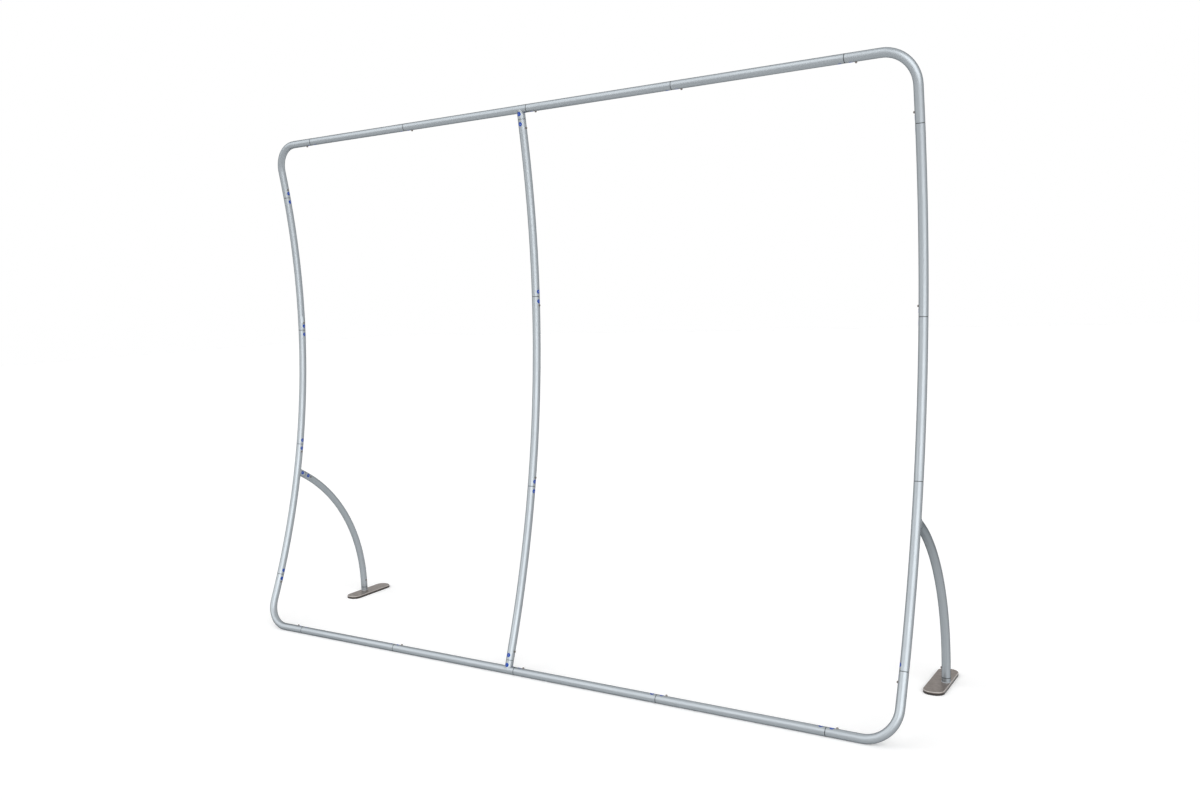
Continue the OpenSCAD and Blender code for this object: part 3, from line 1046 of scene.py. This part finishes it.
@dataclass(frozen=True)
class Stickers:
    """Round number stickers that lie on the tubes beside their seams."""

    plan: StickerPlan
    radius: float = 8.1
    thickness: float = 0.3
    # Sunk below the tube's face, so that no gap shows over its facets
    sunk: float = 0.12
    around: int = 40
    rings: int = 6
    digit_height: float = 5.9
    print_thickness: float = 0.12
    # Depth of the print in its vinyl, so that no gap shows between them
    print_sunk: float = 0.03
    # Steps of each curve in a digit's outline, and how often its faces are split to roll well
    curve_steps: int = 4
    splits: int = 1
    # Points of a digit's faces that are nearer than this become one
    merge_gap: float = 0.002

    @staticmethod
    def points(stickers: list[Sticker]) -> Mesh:
        """Makes a mesh of bare points for a tree to start from.

        Args:
            stickers: The stickers that the points stand for.

        Returns:
            The mesh, which keeps each point's turn under the name of facing.
        """
        mesh = bpy.data.meshes.new("sticker_points")
        mesh.from_pydata([s.place.translation * MM for s in stickers], [], [])
        facing = mesh.attributes.new("facing", "FLOAT_VECTOR", "POINT")
        facing.data.foreach_set(
            "vector", [v for s in stickers for v in s.place.to_euler("XYZ")])
        return mesh

    @staticmethod
    def rolled(form: SizedTree, flat: Source) -> Node:
        """Adds the nodes that roll a flat form round the tube.

        Args:
            form: The tree.
            flat: Form that lies flat: X goes round the tube, Y along it and Z out of it.

        Returns:
            The rolled form, with X out of the tube and Z along it.
        """
        tree, radius = form.tree, form.size["Tube radius"]
        here = add_node(tree, "GeometryNodeInputPosition")
        x, y, z = add_node(tree, "ShaderNodeSeparateXYZ", {0: here}).outputs
        angle = add_node(tree, "ShaderNodeMath", {0: x, 1: radius}, operation="DIVIDE")
        out = add_node(tree, "ShaderNodeMath", {0: z, 1: radius}, operation="ADD")
        section = []
        for turn in ("COSINE", "SINE"):
            share = add_node(tree, "ShaderNodeMath", {0: angle}, operation=turn)
            section.append(add_node(tree, "ShaderNodeMath", {0: out, 1: share},
                                    operation="MULTIPLY"))
        place = add_node(tree, "ShaderNodeCombineXYZ", {0: section[0], 1: section[1], 2: y})
        return add_node(tree, "GeometryNodeSetPosition", {"Geometry": flat, "Position": place})

    def put_on(self, form: SizedTree, flat: Source) -> None:
        """Ends a tree with its form rolled and put at every point, turned as the point says.

        Args:
            form: The tree.
            flat: Form that lies flat.
        """
        facing = add_node(form.tree, "GeometryNodeInputNamedAttribute", {"Name": "facing"},
                          data_type="FLOAT_VECTOR")
        turn = add_node(form.tree, "FunctionNodeEulerToRotation", {0: facing})
        form.close(add_node(form.tree, "GeometryNodeInstanceOnPoints",
                            {"Points": form.size["Geometry"],
                             "Instance": self.rolled(form, flat), "Rotation": turn}))

    def discs(self, finish: Material) -> SizedTree:
        """Builds the tree of the vinyl discs.

        Args:
            finish: Their material.

        Returns:
            The tree.
        """
        form = SizedTree("vinyl_discs", {
            "Tube radius": self.plan.shape.tube_r * MM, "Disc radius": self.radius * MM,
            "Thickness": self.thickness * MM, "Lift": (self.thickness / 2 - self.sunk) * MM,
            "Around": self.around, "Rings": self.rings, "Finish": finish})
        tree, size = form.tree, form.size
        disc = add_node(tree, "GeometryNodeMeshCylinder",
                        {"Vertices": size["Around"], "Fill Segments": size["Rings"],
                         "Radius": size["Disc radius"], "Depth": size["Thickness"]})
        up = add_node(tree, "ShaderNodeCombineXYZ", {"Z": size["Lift"]})
        self.put_on(form, add_node(tree, "GeometryNodeTransform",
                                   {"Geometry": disc, "Translation": up}))
        return form

    def digits(self, finish: Material) -> SizedTree:
        """Builds the tree of the printed digits.

        Args:
            finish: Their material.

        Returns:
            The tree.
        """
        form = SizedTree("printed_digits", {
            "Digit": "0", "Tube radius": self.plan.shape.tube_r * MM,
            "Digit height": self.digit_height * MM,
            "Base": (self.thickness - self.sunk - self.print_sunk) * MM,
            "Print thickness": self.print_thickness * MM, "Curve steps": self.curve_steps,
            "Splits": self.splits, "Merge gap": self.merge_gap * MM, "Finish": finish})
        tree, size = form.tree, form.size
        text = add_node(tree, "GeometryNodeStringToCurves",
                        {"String": size["Digit"], "Size": size["Digit height"]})
        real = add_node(tree, "GeometryNodeRealizeInstances", {0: text})
        outline = add_node(tree, "GeometryNodeSetSplineResolution",
                           {"Geometry": real, "Resolution": size["Curve steps"]})
        filled = add_node(tree, "GeometryNodeFillCurve", {"Curve": outline})
        fine = add_node(tree, "GeometryNodeSubdivideMesh",
                        {"Mesh": filled, "Level": size["Splits"]})
        box = add_node(tree, "GeometryNodeBoundBox", {0: fine}).outputs
        middle = add_node(tree, "ShaderNodeMix",
                          {"Factor": 0.5, "A": box["Min"], "B": box["Max"]},
                          data_type="VECTOR")
        base = add_node(tree, "ShaderNodeCombineXYZ", {"Z": size["Base"]})
        shift = add_node(tree, "ShaderNodeVectorMath", {0: base, 1: middle},
                         operation="SUBTRACT")
        centred = add_node(tree, "GeometryNodeTransform",
                           {"Geometry": fine, "Translation": shift})
        thick = add_node(tree, "GeometryNodeExtrudeMesh",
                         {"Mesh": centred, "Offset Scale": size["Print thickness"],
                          "Individual": False})
        under = add_node(tree, "GeometryNodeFlipFaces", {"Mesh": centred})
        both = add_node(tree, "GeometryNodeJoinGeometry", {0: thick})
        tree.links.new(under.outputs[0], both.inputs[0])
        self.put_on(form, add_node(tree, "GeometryNodeMergeByDistance",
                                   {"Geometry": both, "Distance": size["Merge gap"]}))
        return form

    def build(self) -> None:
        """Makes the discs and their digits and puts them on the frame."""
        stickers = list(self.plan.everywhere())
        discs = self.discs(VINYL.build())
        place_piece("sticker_discs", discs.grow("sticker_discs", self.points(stickers)))
        digits = self.digits(INK.build())
        parts = []
        for number in sorted({s.number for s in stickers}):
            own = self.points([s for s in stickers if s.number == number])
            parts.append(digits.grow(f"digit_{number}", own, Digit=str(number)))
        place_piece("sticker_digits", merged("sticker_digits", parts))


@dataclass(frozen=True)
class WeldLine:
    """Line where a stub meets the metal that carries it, in the stub's own frame.

    Attributes:
        place: The stub's frame: Z along the stub, and Y along a tube that carries it.
        line_r: Radius of the line, seen along the stub.
        carrier_r: Radius of the tube that carries it, or nought on a flat plate.
        slant: Angle by which the stub is off square to that tube.
        lift: Height of the line above a flat plate.
    """

    place: Matrix
    line_r: float
    carrier_r: float = 0.0
    slant: float = 0.0
    lift: float = 0.0

    def points(self, count: int) -> list[Vector]:
        """Points round the line.

        Args:
            count: How many points.

        Returns:
            The points in the frame of the model, in metres.
        """
        made = []
        for i in range(count):
            turn = 2 * math.pi * i / count
            x, y = self.line_r * math.cos(turn), self.line_r * math.sin(turn)
            height = self.lift
            if self.carrier_r:
                level = math.sqrt(max(self.carrier_r ** 2 - x ** 2, 0))
                height = (level + y * math.sin(self.slant)) / math.cos(self.slant)
            made.append(self.place @ Vector((x, y, height)) * MM)
        return made


@dataclass(frozen=True)
class Welds:
    """Rippled beads round the welded stubs and the uprights of the feet."""

    shape: Shape
    bead: float = 1.5
    # Where the middle of a bead runs, in shares of the CAD model's plain collar: out from the
    # stub, and off the tube or the plate that carries it
    share_out: float = 0.4
    share_off_tube: float = 0.6
    share_off_plate: float = 0.4
    # Ripples of a hand-laid bead, one for each dab of the rod: a bead thins by their depth as
    # this power of the way from one dab to the next
    ripple_pitch: float = 2.2
    ripple_depth: float = 0.28
    ripple_power: float = 2.0
    line_points: int = 96
    steps: int = 384
    around: int = 8

    def lines(self) -> Iterator[WeldLine]:
        """Goes through all the welds.

        Yields:
            The line that the middle of each bead follows.
        """
        shape = self.shape
        line_r = shape.tube_r + self.share_out * shape.weld
        carrier_r = shape.tube_r + self.share_off_tube * shape.weld
        for end in End:
            yield WeldLine(shape.tee_place(end), line_r, carrier_r)
        for hand in Hand:
            yield WeldLine(shape.leg_root_place(hand), line_r, carrier_r, shape.leg_slant)
            yield WeldLine(shape.foot_place(hand), line_r,
                           lift=self.share_off_plate * shape.weld)

    def paths(self) -> Mesh:
        """Makes one closed line of edges for each weld.

        Returns:
            A mesh of all the lines.
        """
        points: list[Vector] = []
        edges: list[tuple[int, int]] = []
        count = self.line_points
        for line in self.lines():
            first = len(points)
            points += line.points(count)
            edges += [(first + i, first + (i + 1) % count) for i in range(count)]
        mesh = bpy.data.meshes.new("weld_paths")
        mesh.from_pydata(points, edges, [])
        return mesh

    def beads(self, finish: Material) -> SizedTree:
        """Builds the tree that sweeps a rippling bead along each line.

        Args:
            finish: Material of the beads.

        Returns:
            The tree.
        """
        ripples = round(2 * math.pi * self.shape.tube_r / self.ripple_pitch)
        form = SizedTree("weld_beads", {
            "Bead": self.bead * MM, "Ripples": float(ripples),
            "Ripple share": self.ripple_depth / self.bead, "Ripple power": self.ripple_power,
            "Steps": self.steps, "Around": self.around, "Finish": finish})
        tree, size = form.tree, form.size
        line = add_node(tree, "GeometryNodeMeshToCurve", {"Mesh": size["Geometry"]})
        even = add_node(tree, "GeometryNodeResampleCurve",
                        {"Curve": line, "Count": size["Steps"]})
        along = add_node(tree, "GeometryNodeSplineParameter").outputs["Factor"]
        dabs = add_node(tree, "ShaderNodeMath", {0: along, 1: size["Ripples"]},
                        operation="MULTIPLY")
        past = add_node(tree, "ShaderNodeMath", {0: dabs}, operation="FRACT")
        drop = add_node(tree, "ShaderNodeMath", {0: past, 1: size["Ripple power"]},
                        operation="POWER")
        fall = add_node(tree, "ShaderNodeMath", {0: drop, 1: size["Ripple share"]},
                        operation="MULTIPLY")
        left = add_node(tree, "ShaderNodeMath", {0: 1.0, 1: fall}, operation="SUBTRACT")
        thick = add_node(tree, "GeometryNodeSetCurveRadius", {"Curve": even, "Radius": left})
        ring = add_node(tree, "GeometryNodeCurvePrimitiveCircle",
                        {"Resolution": size["Around"], "Radius": size["Bead"]})
        form.close(add_node(tree, "GeometryNodeCurveToMesh",
                            {"Curve": thick, "Profile Curve": ring}))
        return form

    def build(self) -> None:
        """Makes the beads and puts them on the frame."""
        place_piece("weld_beads", self.beads(WELD.build()).grow("weld_beads", self.paths()))


@dataclass(frozen=True)
class Lamp:
    """One broad soft lamp, far off: angles in degrees."""

    name: str
    azimuth: float
    height: float
    strength: float
    spread: float

    def hang(self) -> None:
        """Puts the lamp into the scene."""
        data = bpy.data.lights.new(self.name, "SUN")
        data.energy, data.angle = self.strength, math.radians(self.spread)
        turn, rise = math.radians(self.azimuth), math.radians(self.height)
        towards = Vector((math.cos(turn) * math.cos(rise),
                          math.sin(turn) * math.cos(rise), math.sin(rise)))
        lamp = add_object(self.name, data)
        lamp.matrix_world = towards.to_track_quat("Z", "Y").to_matrix().to_4x4()


@dataclass(frozen=True)
class Studio:
    """Plain pale floor, soft light and the camera of the photograph."""

    position: tuple[float, float, float] = (2.4484, -3.6094, 1.4983)
    yaw: float = math.radians(32.40)
    pitch: float = math.radians(-6.89)
    roll: float = math.radians(-2.30)
    lens: float = 31.69
    sensor: float = 36.0
    shift: tuple[float, float] = (0.0017, 0.0172)
    sight: float = 200.0
    floor_size: float = 60.0
    floor_colour: str = "#F7F7F7"
    floor_lift: float = 0.13
    ambient: float = 0.42
    lamps: tuple[Lamp, ...] = (
        Lamp("front_right", -48, 20, 2.5, 75),
        Lamp("front_left", -138, 36, 1.1, 65),
        Lamp("back", 110, 60, 0.25, 60),
    )

    def build(self) -> None:
        """Makes the camera, the floor, the lamps and the world."""
        bpy.context.scene.view_settings.view_transform = "Standard"
        self.camera()
        self.floor()
        for lamp in self.lamps:
            lamp.hang()
        self.world()

    def camera(self) -> None:
        """Puts the camera where the photograph was taken from."""
        data = bpy.data.cameras.new("camera")
        data.sensor_width, data.lens = self.sensor, self.lens
        data.shift_x, data.shift_y = self.shift
        data.clip_end = self.sight
        camera = add_object("camera", data)
        camera.matrix_world = (
            Matrix.Translation(self.position) @ Matrix.Rotation(self.yaw, 4, "Z")
            @ Matrix.Rotation(math.pi / 2 + self.pitch, 4, "X")
            @ Matrix.Rotation(self.roll, 4, "Z"))
        bpy.context.scene.camera = camera

    @staticmethod
    def backdrop_share(tree: NodeTree) -> Node:
        """Builds the share of rays that see the background: the camera's and reflections.

        Args:
            tree: Tree of the floor's material or of the world.

        Returns:
            The node that gives the share.
        """
        rays = add_node(tree, "ShaderNodeLightPath").outputs
        share = add_node(tree, "ShaderNodeMath",
                         {0: rays["Is Camera Ray"], 1: rays["Is Glossy Ray"]},
                         operation="MAXIMUM")
        return add_node(tree, "ShaderNodeMath", {0: share, 1: rays["Is Transmission Ray"]},
                        operation="MAXIMUM")

    def floor(self) -> None:
        """Lays the floor, which stays pale and keeps the shadow."""
        material = bpy.data.materials.new("matt_white_floor")
        tree = emptied(material)
        matt = add_node(tree, "ShaderNodeBsdfDiffuse", {"Color": linear(self.floor_colour)})
        lift = add_node(tree, "ShaderNodeMath",
                        {0: self.backdrop_share(tree), 1: self.floor_lift},
                        operation="MULTIPLY")
        glow = add_node(tree, "ShaderNodeEmission", {"Strength": lift})
        both = add_node(tree, "ShaderNodeAddShader", {0: matt, 1: glow})
        add_node(tree, "ShaderNodeOutputMaterial", {"Surface": both})
        half = self.floor_size / 2
        mesh = bpy.data.meshes.new("floor")
        mesh.from_pydata([(-half, -half, 0), (half, -half, 0), (half, half, 0),
                          (-half, half, 0)], [], [(0, 1, 2, 3)])
        mesh.materials.append(material)
        add_object("floor", mesh)

    def world(self) -> None:
        """Lights the object evenly, before a background that is white to the camera."""
        world = bpy.data.worlds.new("white_studio")
        bpy.context.scene.world = world
        tree = emptied(world)
        white = linear("#FFFFFF")
        light = add_node(tree, "ShaderNodeBackground",
                         {"Color": white, "Strength": self.ambient})
        backdrop = add_node(tree, "ShaderNodeBackground", {"Color": white, "Strength": 1.0})
        mix = add_node(tree, "ShaderNodeMixShader",
                       {0: self.backdrop_share(tree), 1: light, 2: backdrop})
        add_node(tree, "ShaderNodeOutputWorld", {"Surface": mix})


def main() -> None:
    """Loads the frame, dresses it, adds what the CAD model lacks and sets the scene."""
    logging.basicConfig(level=logging.INFO, format="%(name)s %(message)s")
    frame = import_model()
    shape = Shape()
    FrameParts(shape, frame["nodes"]).dress()
    Welds(shape).build()
    Stickers(StickerPlan(shape)).build()
    Studio().build()


if __name__ == "__main__":
    main()
